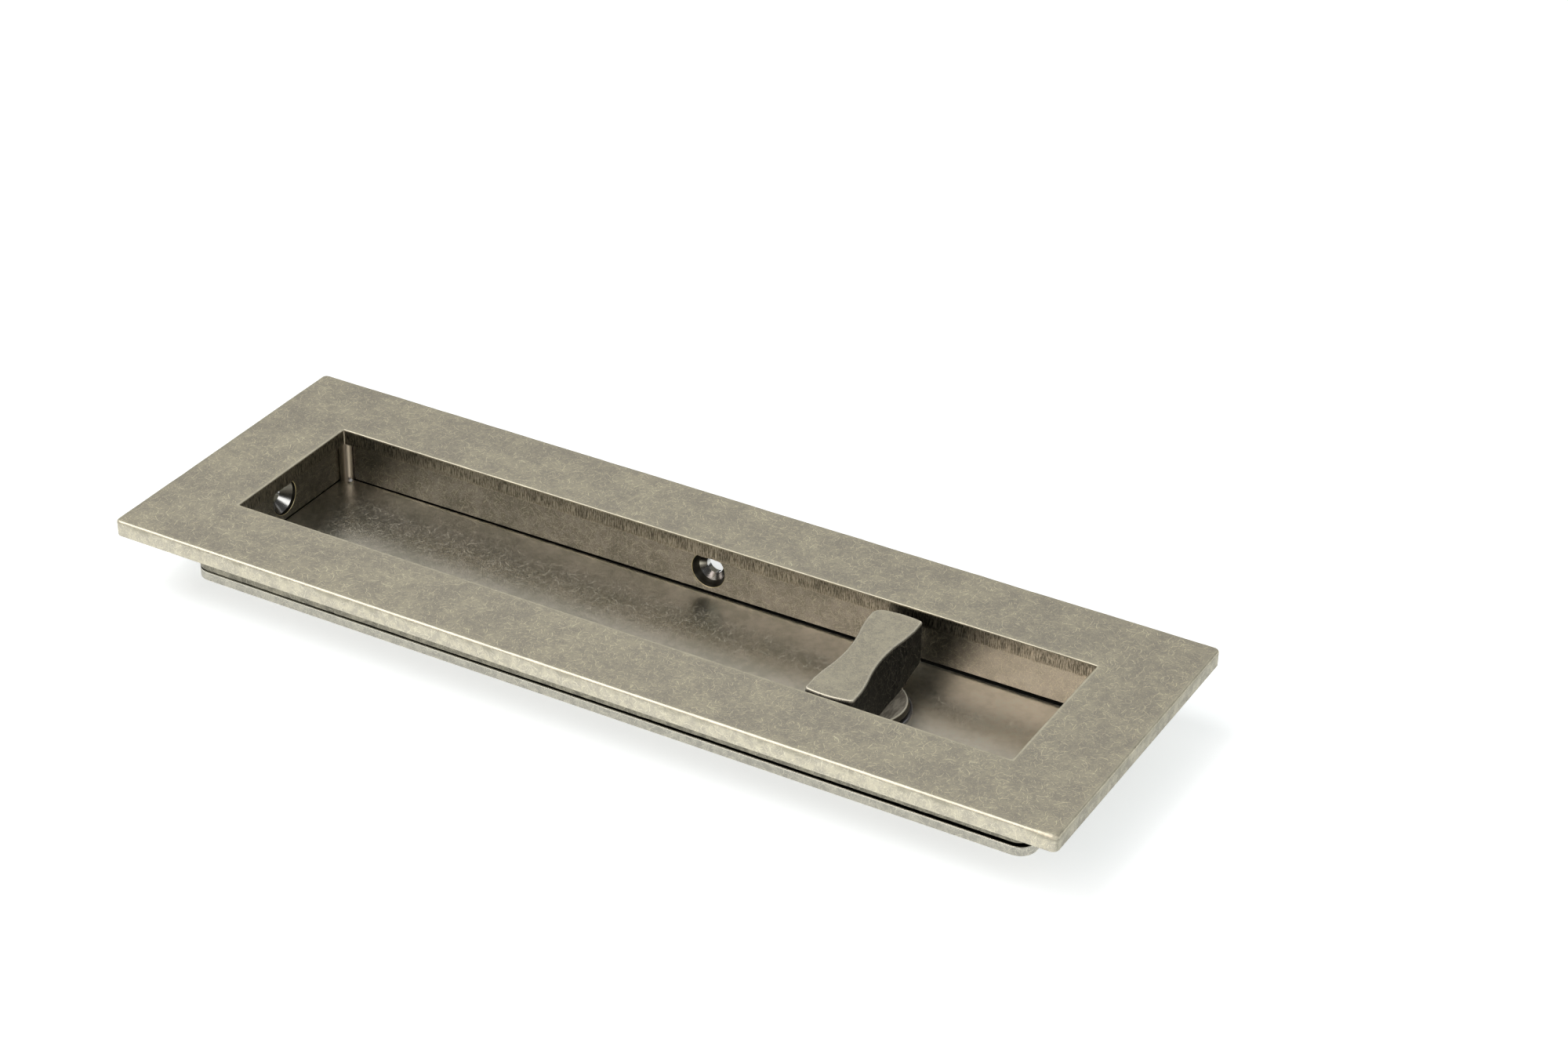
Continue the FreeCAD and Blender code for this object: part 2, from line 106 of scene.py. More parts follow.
class Graph:
    """Nodes of one material. A value is a number, a colour or another node's output."""

    def __init__(self, name):
        self.material = bpy.data.materials.new(name)
        self.material.use_nodes = True
        self.tree = self.material.node_tree
        self.tree.nodes.clear()
        place = self.add("ShaderNodeTexCoord").outputs
        scaled = self.add("ShaderNodeVectorMath", {0: place["Object"], "Scale": 1 / MM}, operation="SCALE")
        self.mm = scaled.outputs[0]
        self.x, self.y, self.z = self.add("ShaderNodeSeparateXYZ", {0: self.mm}).outputs
        self.nx, self.ny, self.nz = self.add("ShaderNodeSeparateXYZ", {0: place["Normal"]}).outputs

    def add(self, kind, inputs=None, **settings):
        node = self.tree.nodes.new(kind)
        for key, value in settings.items():
            setattr(node, key, value)
        for key, value in (inputs or {}).items():
            self.feed(node.inputs[key], value)
        return node

    def feed(self, socket, value):
        if isinstance(value, bpy.types.NodeSocket):
            self.tree.links.new(value, socket)
        else:
            socket.default_value = value

    def math(self, operation, *values):
        return self.add("ShaderNodeMath", dict(enumerate(values)), operation=operation).outputs[0]

    def times(self, *values):
        """The product of the values."""
        product = values[0]
        for value in values[1:]:
            product = self.math("MULTIPLY", product, value)
        return product

    def weigh(self, *pairs):
        """The sum of (value, weight) pairs."""
        total = self.times(*pairs[0])
        for pair in pairs[1:]:
            total = self.math("ADD", total, self.times(*pair))
        return total

    def vector(self, x, y):
        return self.add("ShaderNodeCombineXYZ", {0: x, 1: y}).outputs[0]

    def combine(self, operation, a, b):
        return self.add("ShaderNodeVectorMath", {0: a, 1: b}, operation=operation).outputs[0]

    def fade(self, value, start, end):
        """0 where value is at start, 1 where it is at end, smooth between."""
        out = (0.0, 1.0) if start < end else (1.0, 0.0)
        inputs = {"Value": value, "From Min": min(start, end), "From Max": max(start, end),
                  "To Min": out[0], "To Max": out[1]}
        return self.add("ShaderNodeMapRange", inputs, interpolation_type="SMOOTHSTEP").outputs[0]

    def noise(self, scale, detail, rough, at=None):
        """Noise from 0 to 1 with that many features per millimetre."""
        inputs = {"Vector": at or self.mm, "Scale": scale, "Detail": detail, "Roughness": rough}
        return self.add("ShaderNodeTexNoise", inputs).outputs[0]

    def streaks(self, at, scales, detail=3.0, rough=0.6):
        """Noise stretched by its own scale along each axis."""
        return self.noise(1.0, detail, rough, at=self.combine("MULTIPLY", at, scales))

    def mix(self, share, a, b):
        """Colour a where share is 0, colour b where it is 1."""
        return self.add("ShaderNodeMix", {0: share, 6: a, 7: b}, data_type="RGBA").outputs[2]

    def blend(self, share, a, b):
        """Number a where share is 0, number b where it is 1."""
        return self.add("ShaderNodeMix", {0: share, 2: a, 3: b}, data_type="FLOAT").outputs[0]

    def pick(self, share, a, b):
        """Vector a where share is 0, vector b where it is 1."""
        return self.add("ShaderNodeMix", {0: share, 4: a, 5: b}, data_type="VECTOR").outputs[1]

    def flat(self):
        """Two coordinates in the plane that the surface faces, in millimetres."""
        nx, ny, nz = (self.math("ABSOLUTE", n) for n in (self.nx, self.ny, self.nz))
        upward = self.math("GREATER_THAN", nz, 0.7)
        frontal = self.math("GREATER_THAN", ny, nx)
        side = self.pick(frontal, self.vector(self.y, self.z), self.vector(self.x, self.z))
        return self.pick(upward, side, self.vector(self.x, self.y))

    def hairs(self, at, per_mm, width, seed):
        """Short curved scratches, one in each cell, with its own direction, bend and strength; 0 to 1."""
        moved = self.combine("ADD", at, (seed * 13.7, seed * 7.3, 0.0))
        cells = self.add("ShaderNodeTexVoronoi", {"Vector": moved, "Scale": per_mm, "Randomness": 1.0},
                         voronoi_dimensions="2D").outputs
        in_cells = (per_mm, per_mm, 0.0)
        local = self.combine("SUBTRACT", self.combine("MULTIPLY", moved, in_cells),
                             self.combine("MULTIPLY", cells["Position"], in_cells))
        direction, curl, strength = self.add("ShaderNodeSeparateColor", {0: cells["Color"]}).outputs
        turn = {"Vector": local, "Angle": self.times(direction, math.tau)}
        turned = self.add("ShaderNodeVectorRotate", turn, rotation_type="Z_AXIS").outputs[0]
        along, across, _ = self.add("ShaderNodeSeparateXYZ", {0: turned}).outputs
        curve = self.times(self.math("SUBTRACT", curl, 0.5), HAIR_BEND)
        bent = self.math("ADD", across, self.times(curve, self.times(along, along)))
        line = self.fade(self.math("ABSOLUTE", bent), width * per_mm, width * per_mm * 0.2)
        ends = self.fade(self.math("ABSOLUTE", along), 0.5, 0.2)
        return self.times(line, ends, self.fade(strength, 0.15, 0.9))

    def edges(self, reach):
        """1 on outer edges, fading to 0 at about that many millimetres from them."""
        settings = {"samples": 8, "inside": True, "only_local": True}
        filled = self.add("ShaderNodeAmbientOcclusion", {"Distance": reach * MM}, **settings).outputs["AO"]
        return self.fade(filled, 0.94, 0.72)

    def metal(self, colour, rough, bump=None, depth=0.0, metallic=1.0, gloss=0.5):
        """Closes the material. bump is a height from 0 to 1, depth its size in millimetres."""
        inputs = {"Base Color": colour, "Metallic": metallic, "Roughness": rough}
        shader = self.add("ShaderNodeBsdfPrincipled", inputs)
        shader.inputs["Specular IOR Level"].default_value = gloss
        if bump is not None:
            relief = self.add("ShaderNodeBump", {"Height": bump, "Distance": depth * MM, "Strength": 1.0})
            self.tree.links.new(relief.outputs[0], shader.inputs["Normal"])
        out = self.add("ShaderNodeOutputMaterial")
        self.tree.links.new(shader.outputs[0], out.inputs[0])
        return self.material


def pewter(level, yellow=1.0, pink=0.0):
    """A linear colour: grey pulled towards straw, and towards brown by pink."""
    return (level * (1 + 0.07 * yellow + pink), level, level * (1 - 0.23 * yellow), 1.0)


# hair scratches: cells per millimetre and half a hair's width in millimetres, one pair a layer
HAIR_LAYERS = [(0.30, 0.13), (0.42, 0.11), (0.55, 0.10), (0.75, 0.09), (1.1, 0.08)]

# colour of the scratches on the face and the lever's top
HAIR_COLOUR = pewter(0.98, 1.05)


class Finish:
    """Patina shared by the pewter materials: mottle, fine grain and hair scratches."""

    def __init__(self, graph, seed):
        self.flat = graph.flat()
        moved = graph.combine("ADD", graph.mm, (seed * 31.0, 0.0, 0.0))
        self.cloud = graph.noise(0.12, 5.0, 0.62, at=moved)
        self.blotch = graph.noise(0.5, 4.0, 0.6)
        self.grain = graph.noise(4.0, 3.0, 0.6)
        total = 0.0
        for number, (per_mm, width) in enumerate(HAIR_LAYERS, 1):
            total = graph.math("ADD", total, graph.hairs(self.flat, per_mm, width, seed + number))
        self.scratch = graph.math("MINIMUM", total, 1.0)


def edge_gap(graph, half_x, half_y):
    """How far a point lies inside a rectangle about the origin, in millimetres; negative outside."""
    gap_x = graph.math("SUBTRACT", half_x, graph.math("ABSOLUTE", graph.x))
    gap_y = graph.math("SUBTRACT", half_y, graph.math("ABSOLUTE", graph.y))
    return graph.math("MINIMUM", gap_x, gap_y)


def face_metal():
    """Face, sides and back of the face frame: mottled and scratched, pale along its worn edges."""
    g = Graph("face_metal")
    f = Finish(g, 1)
    facing_up = g.fade(g.nz, 0.2, 0.6)
    facing_down = g.fade(g.nz, -0.4, -0.8)
    facing_front = g.fade(g.ny, -0.1, -0.4)
    facing_right = g.fade(g.nx, 0.5, 0.9)
    upright = g.fade(g.nz, 0.5, 0.1)
    outer = edge_gap(g, PLATE_X, PLATE_Y)
    inner = g.math("SUBTRACT", 0.0, edge_gap(g, WINDOW_X, WINDOW_Y))
    spots = g.fade(g.weigh((f.blotch, 0.6), (f.grain, 0.4)), 0.42, 0.58)

    # the face: two tones, then its grain and its scratches
    mottle = g.fade(g.weigh((f.cloud, 0.55), (f.blotch, 0.45)), 0.38, 0.62)
    colour = g.mix(mottle, pewter(0.50, 0.75, 0.03), pewter(0.64, 0.95, 0.01))
    colour = g.mix(g.times(g.fade(f.grain, 0.45, 0.75), 0.7), colour, pewter(0.78, 1.0))
    colour = g.mix(g.times(f.scratch, g.blend(mottle, 0.6, 1.0)), colour, HAIR_COLOUR)

    # a pale halo along every edge, of uneven reach
    uneven = g.times(g.math("SUBTRACT", f.blotch, 0.5), 1.6)
    nearest = g.math("MINIMUM", g.math("ADD", outer, uneven), g.math("ADD", inner, uneven))
    halo = g.times(g.fade(nearest, 2.0, -0.4), facing_up)
    colour = g.mix(g.times(halo, 0.55), colour, pewter(0.80, 1.0))

    # a bright line on the edges, faint on the window's back edge and wider on its other three
    back_edge = g.times(g.fade(inner, 0.45, 0.25), g.math("SUBTRACT", 1.0, g.times(facing_front, 0.6)))
    other_edges = g.times(g.fade(inner, 0.75, 0.45), g.fade(g.y, WINDOW_Y - 0.3, WINDOW_Y - 0.6))
    rim = g.math("MAXIMUM", g.fade(outer, 0.75, 0.35), g.math("MAXIMUM", back_edge, other_edges))
    rim = g.times(rim, facing_up, g.blend(g.fade(f.blotch, 0.3, 0.6), 0.35, 0.9))
    colour = g.mix(rim, colour, pewter(0.95, 0.95))

    # the sides: pale, with painted shade on the side facing right and painted shade under the rim
    side = g.mix(spots, pewter(0.50, 0.75, 0.02), pewter(0.64, 0.9, 0.01))
    side = g.mix(g.times(f.scratch, 0.6), side, pewter(0.90, 0.85))
    side = g.mix(g.times(facing_right, 0.8), side, g.mix(spots, pewter(0.26, 0.8), pewter(0.42, 0.9)))
    colour = g.mix(upright, colour, side)
    shade = g.times(g.fade(g.z, TOP - 1.9, TOP - 0.9), g.fade(f.cloud, 0.44, 0.60))
    colour = g.mix(g.times(shade, upright, 0.55), colour, pewter(0.34, 1.0))

    # behind the plate: dull walls, and painted shade on the back where it faces down
    dull = g.mix(spots, pewter(0.24, 0.8), pewter(0.42, 0.9))
    dull = g.mix(g.times(f.scratch, 0.6), dull, pewter(0.70, 0.9))
    colour = g.mix(g.fade(g.z, UNDER - 0.1, UNDER - 0.6), colour, dull)
    colour = g.mix(facing_down, colour, g.mix(spots, pewter(0.14, 0.8), pewter(0.22, 0.9)))

    rough = g.math("SUBTRACT", g.blend(f.cloud, 0.50, 0.60), g.times(halo, 0.08))
    return g.metal(colour, rough, g.weigh((f.grain, 0.6), (f.scratch, -0.4)), depth=0.03)


def lip_metal():
    """The window's inner rim: dark patina with upright tool marks, paler along its lower edge, and a
    painted highlight up its corners.
    """
    g = Graph("lip_metal")
    flat = g.flat()
    strokes = g.streaks(flat, (4.2, 0.40, 0.0), rough=0.65)
    grain = g.streaks(flat, (4.5, 1.6, 0.0))
    worn = g.weigh((strokes, 0.65), (grain, 0.2), (g.noise(0.3, 3.0, 0.6), 0.15))
    colour = g.mix(g.fade(worn, 0.41, 0.61), pewter(0.10, 0.7, 0.0), pewter(0.48, 0.7, 0.03))
    low = g.fade(g.math("ADD", g.z, g.times(strokes, 0.9)), UNDER + 0.9, UNDER + 0.5)
    colour = g.mix(g.times(low, 0.35), colour, pewter(0.56, 0.8, 0.04))
    # a painted highlight up the window's corners
    side_gap = g.math("SUBTRACT", WINDOW_X, g.math("ABSOLUTE", g.x))
    end_gap = g.math("SUBTRACT", WINDOW_Y, g.math("ABSOLUTE", g.y))
    corner = g.fade(g.math("MAXIMUM", side_gap, end_gap), 0.17, 0.11)
    colour = g.mix(corner, colour, pewter(0.8, 0.6, 0.04))
    return g.metal(colour, g.blend(grain, 0.28, 0.34), worn, depth=0.03)


def recess_metal(name, low, high, painted_light_beyond_lever):
    """Walls and floor of the recess, half polished: mottled from low to high, and paler beyond the lever as
    painted light.
    """
    g = Graph(name)
    f = Finish(g, 5)
    mottle = g.fade(g.weigh((f.cloud, 0.5), (f.blotch, 0.5)), 0.38, 0.62)
    colour = g.mix(mottle, low, high)
    # painted light: paler beyond the lever
    colour = g.mix(g.times(g.fade(g.x, 45.0, 80.0), g.blend(mottle, 0.45, 0.9)), colour, painted_light_beyond_lever)
    colour = g.mix(g.times(g.fade(f.grain, 0.5, 0.7), 0.3), colour, pewter(0.85, 0.9))
    colour = g.mix(g.times(f.scratch, 0.34), colour, pewter(0.90, 0.9))
    rough = g.math("ADD", g.blend(f.blotch, 0.28, 0.32), g.times(f.scratch, 0.2))
    return g, f, colour, rough


def wall_metal():
    # low and high tones, then the painted light beyond the lever
    tones = (pewter(0.20, 0.5, 0.0), pewter(0.29, 0.4, 0.03), pewter(0.33, 0.5, 0.03))
    g, _, colour, rough = recess_metal("wall_metal", *tones)
    return g.metal(colour, rough)


def base_metal():
    """Recess floor above, mottled grey at the sides with a bright line along the upper edge."""
    # low and high tones, then the painted light beyond the lever
    tones = (pewter(0.76, 0.75, -0.01), pewter(0.93, 0.65, 0.02), pewter(0.98, 0.62, 0.02))
    g, f, colour, rough = recess_metal("base_metal", *tones)
    side = g.fade(g.nz, 0.9, 0.6)
    facing_up = g.fade(g.nz, 0.6, 0.9)
    edge = edge_gap(g, TUB_X, TUB_Y)

    spots = g.fade(g.weigh((f.blotch, 0.5), (f.grain, 0.5)), 0.4, 0.6)
    grey_side = g.mix(spots, pewter(0.46, 0.5), pewter(0.66, 0.6))
    grey_side = g.mix(g.times(f.scratch, 0.6), grey_side, pewter(0.90, 0.7))
    colour = g.mix(side, colour, grey_side)

    # painted shade on the strip of floor under the walls, in the gap
    painted_gap_shade = g.fade(edge_gap(g, CAVITY_X, CAVITY_Y), 0.05, -0.05)
    inside = g.math("GREATER_THAN", edge, 0.35)
    colour = g.mix(g.times(painted_gap_shade, inside, facing_up), colour, pewter(0.05, 1.0))

    line = g.times(g.fade(g.z, FLOOR - 0.45, FLOOR - 0.2), g.fade(edge, 0.5, 0.35))
    colour = g.mix(line, colour, pewter(0.98, 0.6))
    rough = g.blend(line, g.blend(side, rough, 0.42), 0.25)
    return g.metal(colour, rough)


def lever_metal():
    """Lever top like the face, near-black flanks as painted shade with faint brush marks, fine bright edge
    lines, a painted highlight on the collar's rim and painted shade on the collar's ledge.
    """
    g = Graph("lever_metal")
    f = Finish(g, 9)
    lever_top = TURN_HIGH[2]
    high = g.fade(g.z, lever_top - 0.5, lever_top - 0.2)
    low = g.fade(g.z, COLLAR_LEDGE + 0.25, COLLAR_LEDGE + 0.05)

    mottle = g.fade(g.math("ADD", f.cloud, f.blotch), 0.82, 1.2)
    top = g.mix(mottle, pewter(0.58, 0.9, 0.02), pewter(0.74, 1.0, 0.01))
    top = g.mix(g.fade(f.grain, 0.45, 0.75), top, pewter(0.88, 1.0))
    top = g.mix(g.times(f.scratch, 0.6), top, HAIR_COLOUR)

    # the flanks: near-black as painted shade, with faint brush marks
    brush = g.streaks(f.flat, (2.4, 0.3, 0.0))
    painted_shade_flank = g.mix(g.fade(brush, 0.4, 0.75), pewter(0.015, 0.6), pewter(0.05, 0.7))
    marks = g.fade(g.streaks(f.flat, (3.5, 0.7, 0.0), detail=4.0, rough=0.7), 0.56, 0.72)
    painted_shade_flank = g.mix(g.times(marks, 0.35), painted_shade_flank, pewter(0.28, 0.9))
    painted_shade_flank = g.mix(g.times(f.scratch, 0.35), painted_shade_flank, pewter(0.34, 1.0))

    # the collar: a streaky slope round a ledge darkened as painted shade under the blade
    streak = g.streaks(f.flat, (1.2, 0.25, 0.0))
    collar = g.mix(g.fade(streak, 0.35, 0.65), pewter(0.28, 0.9, 0.06), pewter(0.56, 0.8, 0.03))
    ledge_in_painted_shade = g.fade(g.nz, 0.8, 0.95)
    collar = g.mix(ledge_in_painted_shade, pewter(0.16, 0.9, 0.03), collar)

    colour = g.mix(low, painted_shade_flank, collar)
    colour = g.mix(g.times(g.fade(g.nz, 0.5, 0.9), high), colour, top)

    # bright lines: the upper edges and the two tips, and a painted highlight on the collar's rim
    middle = g.combine("SUBTRACT", g.mm, (LEVER_X, 0.0, 0.0))
    level = g.combine("MULTIPLY", middle, (1.0, 1.0, 0.0))
    reach = g.add("ShaderNodeVectorMath", {0: level}, operation="LENGTH").outputs["Value"]
    # painted highlight along the collar's rim
    from_rim = g.math("ABSOLUTE", g.math("SUBTRACT", reach, COLLAR_RIM))
    from_ledge = g.math("ABSOLUTE", g.math("SUBTRACT", g.z, COLLAR_LEDGE))
    rim = g.times(g.fade(from_rim, 0.25, 0.10), g.fade(from_ledge, 0.4, 0.15))
    tips = g.times(g.fade(reach, 18.3, 18.8), 0.6)
    where = g.math("MAXIMUM", g.fade(g.z, lever_top - 1.2, lever_top - 0.6), tips)
    line = g.math("MAXIMUM", g.times(g.edges(0.7), where, g.fade(f.blotch, 0.2, 0.4)), rim)
    colour = g.mix(line, colour, pewter(0.97, 0.8))

    rough = g.blend(high, g.blend(low, 0.45, 0.34), 0.42)
    shine = g.math("MAXIMUM", high, g.blend(low, 0.1, g.blend(ledge_in_painted_shade, 0.9, 0.3)))
    shine = g.blend(line, shine, 0.3)
    bump = g.math("ADD", f.grain, brush)
    return g.metal(colour, rough, bump, depth=0.012, metallic=shine, gloss=0.12)


def plain_metal(name, level, yellow, rough, marks, pink=0.0, pale_edges=True, metallic=1.0):
    """Turned or plated metal with faint marks; marks gives their scale along each axis."""
    g = Graph(name)
    streaks = g.streaks(g.mm, marks)
    colour = g.mix(streaks, pewter(level * 0.8, yellow, pink), pewter(level * 1.15, yellow, pink))
    if pale_edges:
        colour = g.mix(g.times(g.edges(0.35), 0.7), colour, pewter(0.92, 0.5))
    uneven_rough = g.blend(streaks, rough * 0.8, rough * 1.2)
    return g.metal(colour, uneven_rough, streaks, depth=0.006, metallic=metallic)


def bare_metal():
    """Bare metal of the countersinks, with painted shade where it faces down."""
    g = Graph("bare_metal")
    marks = g.noise(0.8, 3.0, 0.6)
    # painted shade where the metal faces down
    lit = g.fade(g.nz, -0.35, 0.05)
    colour = g.mix(lit, pewter(0.10, 0.4), g.mix(marks, pewter(0.46, 0.2), pewter(0.64, 0.15)))
    return g.metal(colour, g.blend(marks, 0.16, 0.24), marks, depth=0.006)


def pillar_metal():
    """Turned pillar, with painted light towards the right and painted shade towards the left."""
    g = Graph("pillar_metal")
    streaks = g.streaks(g.mm, (3.0, 3.0, 0.1))
    # painted light on the side facing right, painted shade on the side facing left
    painted_light_side = g.fade(g.math("ADD", g.nx, g.times(streaks, 0.3)), 0.40, 0.75)
    colour = g.mix(painted_light_side, pewter(0.30, 0.9, 0.04), pewter(0.48, 0.5, 0.08))
    return g.metal(colour, g.blend(painted_light_side, 0.45, 0.38), streaks, depth=0.004)


# face frame: closed rings from the recess over the face and back

LONG_STEPS = 560
SHORT_STEPS = 120
CORNER_STEPS = 6
FACE, LIP, WALL, BARE, DARK, RIM = range(6)

# mean radius of the worn edges at the window and round the plate
WINDOW_WEAR = 0.22
PLATE_WEAR = 0.62

# extra wear at the knocked corner, and how far it spreads, in square millimetres
KNOCK = 0.65
KNOCK_SPREAD = 14.0

# roundings of the plate's back edge, of the corner behind it, of the lip's and of the walls' lower edge
BACK_ROUND = 0.4
TUB_ROUND = 0.3
LIP_ROUND = 0.12
FOOT_ROUND = 0.15

# where the lip's lower edge starts: how far behind the lip, how much lower, and the radius of its corners
LIP_BACK = 0.2
LIP_DIP = 0.02
LIP_BACK_CORNER = 0.4

# the lip's height between its roundings, the depth of its highest ring and how much tool marks fade upwards
LIP_TALL = PLATE_THICK - 0.6
LIP_TOP = 0.42
MARK_FADE = 0.6

# mean hollow of the plate's sides
SIDE_HOLLOW = 0.05

# worn edge at the walls' outer foot: its size and the ring in its middle; the corners' radius inside it
FOOT_WEAR = 0.25
FOOT_MIDDLE = 0.08
FOOT_CORNER = 0.6

# dark band in the sinks of the long sides: its step in from the mouth, and how far in and down it ends
BAND_STEP = 0.25
BAND_REACH = 0.95

# how far the cutters of the reliefs reach below the floor and into the plate
RELIEF_BELOW = 1.0
RELIEF_ABOVE = 0.01

# places of the rings on the lip, across the face and down the plate's side, as shares of the way
LIP_SHARES = (0.35, 0.6, 0.8)
FACE_SHARES = (0.045, 0.12, 0.35, 0.65, 0.88, 0.945)
SIDE_SHARES = (0.35, 0.7)

# steps in the worn edge at the window, the one round the plate and the rounding at its back
WINDOW_STEPS = 5
PLATE_STEPS = 6
BACK_STEPS = 3

# slow noise on the frame: seed, wavelength and height in millimetres of each layer
LIP_WAVES = [(3, 0.9, 0.18), (4, 4.0, 0.10)]
MARK_WAVES = [(5, 0.8, 0.04), (6, 3.0, 0.04)]
WINDOW_WAVES = [(7, 9.0, 0.09), (8, 2.0, 0.05)]
PLATE_WAVES = [(9, 11.0, 0.16), (10, 2.5, 0.08)]
SIDE_WAVES = [(11, 14.0, 0.05)]
FOOT_WAVES = [(12, 2.0, 0.06), (13, 9.0, 0.05)]


def waves(layers, x, y):
    """Sum of slow noises along the piece, each from about minus to plus its height."""
    total = 0.0
    for seed, length, height in layers:
        total += height * noise.noise(Vector((x / length + seed * 17.3, y / length, seed * 3.1)))
    return total


def ring(half_x, half_y, radius):
    """Points round a rounded rectangle, as many for every size, with the outward direction of each."""
    # the outward direction of each side, its steps, and the signs of the corner that follows it
    sides = [((1, 0), SHORT_STEPS, (1, 1)), ((0, 1), LONG_STEPS, (-1, 1)),
             ((-1, 0), SHORT_STEPS, (-1, -1)), ((0, -1), LONG_STEPS, (1, -1))]
    points = []
    for (out_x, out_y), steps, (sign_x, sign_y) in sides:
        half = half_y - radius if out_x else half_x - radius
        for step in range(steps):
            along = -half + 2 * half * step / steps
            points.append((out_x * half_x - out_y * along, out_y * half_y + out_x * along, out_x, out_y))
        start = math.atan2(out_y, out_x)
        middle_x = sign_x * (half_x - radius)
        middle_y = sign_y * (half_y - radius)
        for step in range(CORNER_STEPS):
            angle = start + math.pi / 2 * step / CORNER_STEPS
            c, s = math.cos(angle), math.sin(angle)
            points.append((middle_x + radius * c, middle_y + radius * s, c, s))
    return points


def round_edge(half_x, half_y, corner, wear, angle, side):
    """One ring of a worn edge below the face; side is 1 at an outer edge and -1 at the window."""
    points = []
    for x, y, out_x, out_y in ring(half_x, half_y, corner):
        radius = wear(x, y)
        move = -side * radius * (1 - math.cos(angle))
        points.append((x + out_x * move, y + out_y * move, TOP - radius * (1 - math.sin(angle))))
    return points


def wall_foot(x):
    """Height of the walls' lower end; the gap above the base plate widens to the right."""
    share = (x + TUB_X) / (2 * TUB_X)
    return FLOOR + GAP_LEFT + (GAP_RIGHT - GAP_LEFT) * share


def frame_rings():
    """The rings of the face frame from the recess's lower edge round to the walls' lower edge."""
    rings = []

    def put(half_x, half_y, radius, height, slot, push=None):
        """height is a number or a function of x and y; push moves a point outwards by that much."""
        points = []
        for x, y, out_x, out_y in ring(half_x, half_y, radius):
            z = height(x, y) if callable(height) else height
            move = push(x, y) if push else 0.0
            points.append((x + out_x * move, y + out_y * move, z))
        rings.append((points, slot))

    def lip_edge(x, y):
        return UNDER + waves(LIP_WAVES, x, y)

    def tool_mark(x, y):
        return waves(MARK_WAVES, x, y)

    def window_wear(x, y):
        return WINDOW_WEAR + waves(WINDOW_WAVES, x, y)

    def plate_wear(x, y):
        knock = KNOCK * math.exp(-((x - PLATE_X) ** 2 + (y + PLATE_Y) ** 2) / KNOCK_SPREAD)
        return PLATE_WEAR + waves(PLATE_WAVES, x, y) + knock

    def plate_side(x, y):
        return waves(SIDE_WAVES, x, y) - SIDE_HOLLOW

    def ragged_foot(x, y):
        return wall_foot(x) + waves(FOOT_WAVES, x, y)

    # up the walls to the plate's underside, out to the lip's lower edge and up the lip
    put(CAVITY_X, CAVITY_Y, CAVITY_CORNER, lambda x, y: wall_foot(x) + FOOT_ROUND, WALL)
    put(CAVITY_X, CAVITY_Y, CAVITY_CORNER, UNDER, WALL)
    put(WINDOW_X + LIP_BACK, WINDOW_Y + LIP_BACK, LIP_BACK_CORNER,
        lambda x, y: lip_edge(x, y) - LIP_DIP, WALL)
    put(WINDOW_X, WINDOW_Y, WINDOW_CORNER, lambda x, y: lip_edge(x, y) + LIP_ROUND, LIP, tool_mark)
    for share in LIP_SHARES:
        put(WINDOW_X, WINDOW_Y, WINDOW_CORNER, UNDER + LIP_ROUND + LIP_TALL * share, LIP,
            lambda x, y, k=share: tool_mark(x, y) * (1 - MARK_FADE * k))
    put(WINDOW_X, WINDOW_Y, WINDOW_CORNER, TOP - LIP_TOP, LIP,
        lambda x, y: tool_mark(x, y) * (1 - MARK_FADE))

    # over the window's worn edge, across the face and over the plate's worn edge
    for step in range(1, WINDOW_STEPS + 1):
        angle = math.pi / 2 * step / WINDOW_STEPS
        rings.append((round_edge(WINDOW_X, WINDOW_Y, WINDOW_CORNER, window_wear, angle, -1), FACE))
    for share in FACE_SHARES:
        put(WINDOW_X + (PLATE_X - WINDOW_X) * share, WINDOW_Y + (PLATE_Y - WINDOW_Y) * share,
            WINDOW_CORNER + (PLATE_CORNER - WINDOW_CORNER) * share, TOP, FACE)
    for step in range(PLATE_STEPS + 1):
        angle = math.pi / 2 * (1 - step / PLATE_STEPS)
        rings.append((round_edge(PLATE_X, PLATE_Y, PLATE_CORNER, plate_wear, angle, 1), FACE))

    # down the side, round its back edge and down the walls' outside to the gap
    for share in SIDE_SHARES:
        put(PLATE_X, PLATE_Y, PLATE_CORNER, TOP - PLATE_THICK * share, FACE,
            lambda x, y, k=share: plate_side(x, y) * k)
    for step in range(BACK_STEPS + 1):
        angle = math.pi / 2 * step / BACK_STEPS
        inset = BACK_ROUND * (1 - math.cos(angle))
        drop = BACK_ROUND * (1 - math.sin(angle))
        push = None if step else plate_side
        put(PLATE_X - inset, PLATE_Y - inset, PLATE_CORNER, UNDER + drop, FACE, push)
    put(TUB_X + TUB_ROUND, TUB_Y + TUB_ROUND, TUB_CORNER, UNDER, FACE)
    put(TUB_X, TUB_Y, TUB_CORNER, UNDER - TUB_ROUND, FACE)
    put(TUB_X, TUB_Y, TUB_CORNER, lambda x, y: ragged_foot(x, y) + FOOT_WEAR, FACE)
    put(TUB_X - FOOT_MIDDLE, TUB_Y - FOOT_MIDDLE, TUB_CORNER,
        lambda x, y: ragged_foot(x, y) + FOOT_MIDDLE, FACE)
    put(TUB_X - FOOT_WEAR, TUB_Y - FOOT_WEAR, TUB_CORNER, lambda x, y: wall_foot(x), FACE)
    # the walls' underside in the gap, in the dark metal as painted shade
    put(CAVITY_X + FOOT_ROUND, CAVITY_Y + FOOT_ROUND, FOOT_CORNER, lambda x, y: wall_foot(x), DARK)
    return rings


